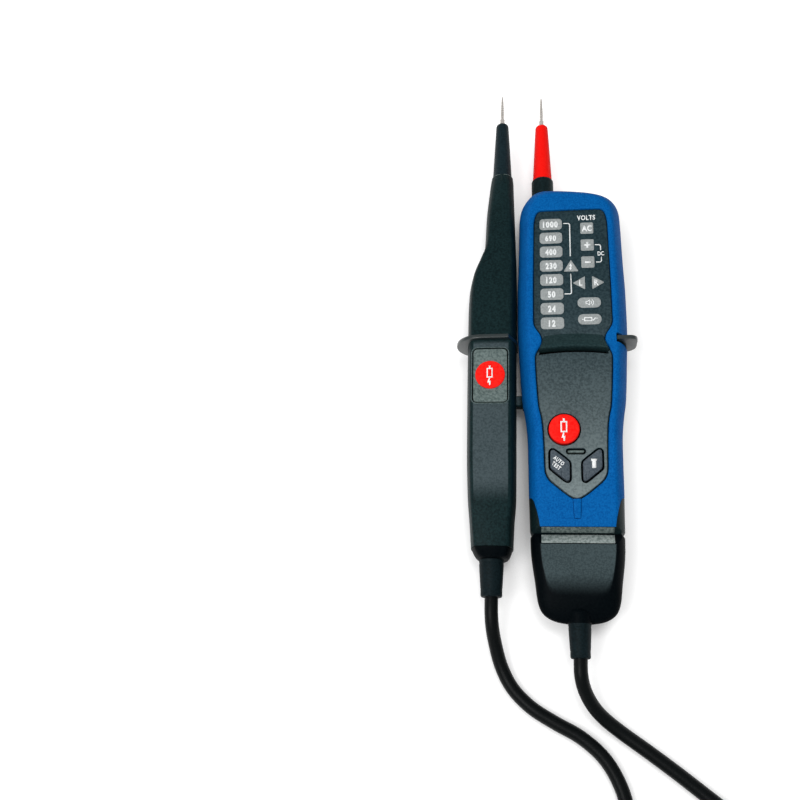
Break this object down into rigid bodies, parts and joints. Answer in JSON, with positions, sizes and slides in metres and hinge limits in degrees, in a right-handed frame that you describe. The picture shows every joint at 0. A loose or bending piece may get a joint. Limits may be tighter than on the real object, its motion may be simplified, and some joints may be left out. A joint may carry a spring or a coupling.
{
  "type": "two-pole voltage tester",
  "caption": "Handheld two-pole voltage tester: display unit with fixed needle, red test button and keys, docked hand probe with key pad, joined by a coiled rubber lead.",
  "frame": {"origin": "on the display unit's centre line, on its flat back, under the middle of the housing", "axes": "+Y towards the needles along the units' length, +Z out of the face with the windows, +X to the right of the display unit, away from the docked probe"},
  "size_m": [0.1439, 0.4116, 0.0302],
  "materials": {
    "black_shell": "satin moulded plastic",
    "blue_grip": "fine-grained soft-touch plastic",
    "screw_steel": "plated steel",
    "lens_grey": "frosted light-guide plastic",
    "black_gloss": "dark window plastic",
    "circuit_board": "lacquered laminate",
    "led_resin": "diffused resin",
    "clear_lens": "clear moulded lens",
    "switch_black": "moulded plastic",
    "battery_case": "printed steel can",
    "contact_metal": "nickel-plated spring steel",
    "red_plastic": "satin red plastic",
    "button_grey": "soft rubber key",
    "needle_steel": "polished plated steel",
    "lead_rubber": "smooth black rubber",
    "probe_black": "satin moulded plastic",
    "tie_nylon": "woven nylon"
  },
  "bodies": {
    "display_unit": {"front_shell": "black_shell", "front_grip": "blue_grip", "rear_shell": "black_shell", "end_cap": "black_shell", "battery_door": "black_shell", "battery_door_screw": "screw_steel", "shell_screws": "screw_steel", "volt_lenses": "lens_grey", "polarity_lenses": "lens_grey", "hazard_lens": "lens_grey", "phase_lenses": "lens_grey", "status_lenses": "lens_grey", "indicator_bar": "black_gloss", "led_board": "circuit_board", "board_screws": "screw_steel", "display_leds": "led_resin", "tact_switches": "switch_black", "sounder": "switch_black", "battery_cells": "battery_case", "battery_contacts": "contact_metal", "torch_led": "led_resin", "torch_lens": "clear_lens", "tip_collar": "black_shell", "red_sleeve": "red_plastic", "main_needle": "needle_steel", "main_strain_relief": "lead_rubber", "probe_lead": "lead_rubber", "main_lead": "lead_rubber", "cord_coil": "lead_rubber", "cord_tie": "tie_nylon"},
    "hand_probe": {"probe_front_shell": "probe_black", "probe_rear_shell": "probe_black", "probe_board": "circuit_board", "probe_switch": "switch_black", "probe_screws": "screw_steel", "probe_sleeve": "probe_black", "probe_needle": "needle_steel", "probe_end_cap": "probe_black", "probe_strain_relief": "lead_rubber"},
    "test_key": {"test_button": "red_plastic"},
    "auto_key": {"auto_button": "button_grey"},
    "torch_key": {"torch_button": "button_grey"},
    "probe_key": {"probe_key_pad": "button_grey", "probe_key_disc": "red_plastic"}
  },
  "joints": [
    {"name": "test_button_press", "type": "slide", "parent": "display_unit", "child": "test_key", "axis": [0, 0.0809, -0.9967], "range_m": [0, 0.0008], "stiffness_N_per_m": 1500},
    {"name": "auto_button_press", "type": "slide", "parent": "display_unit", "child": "auto_key", "axis": [0, 0.0809, -0.9967], "range_m": [0, 0.0008], "stiffness_N_per_m": 1500},
    {"name": "torch_button_press", "type": "slide", "parent": "display_unit", "child": "torch_key", "axis": [0, 0.0809, -0.9967], "range_m": [0, 0.0008], "stiffness_N_per_m": 1500},
    {"name": "probe_dock_slide", "type": "slide", "parent": "display_unit", "child": "hand_probe", "axis": [-1, 0, 0], "range_m": [0, 0.025]},
    {"name": "probe_key_press", "type": "slide", "parent": "hand_probe", "child": "probe_key", "axis": [0, 0, -1], "range_m": [0, 0.0008], "stiffness_N_per_m": 1500}
  ]
}
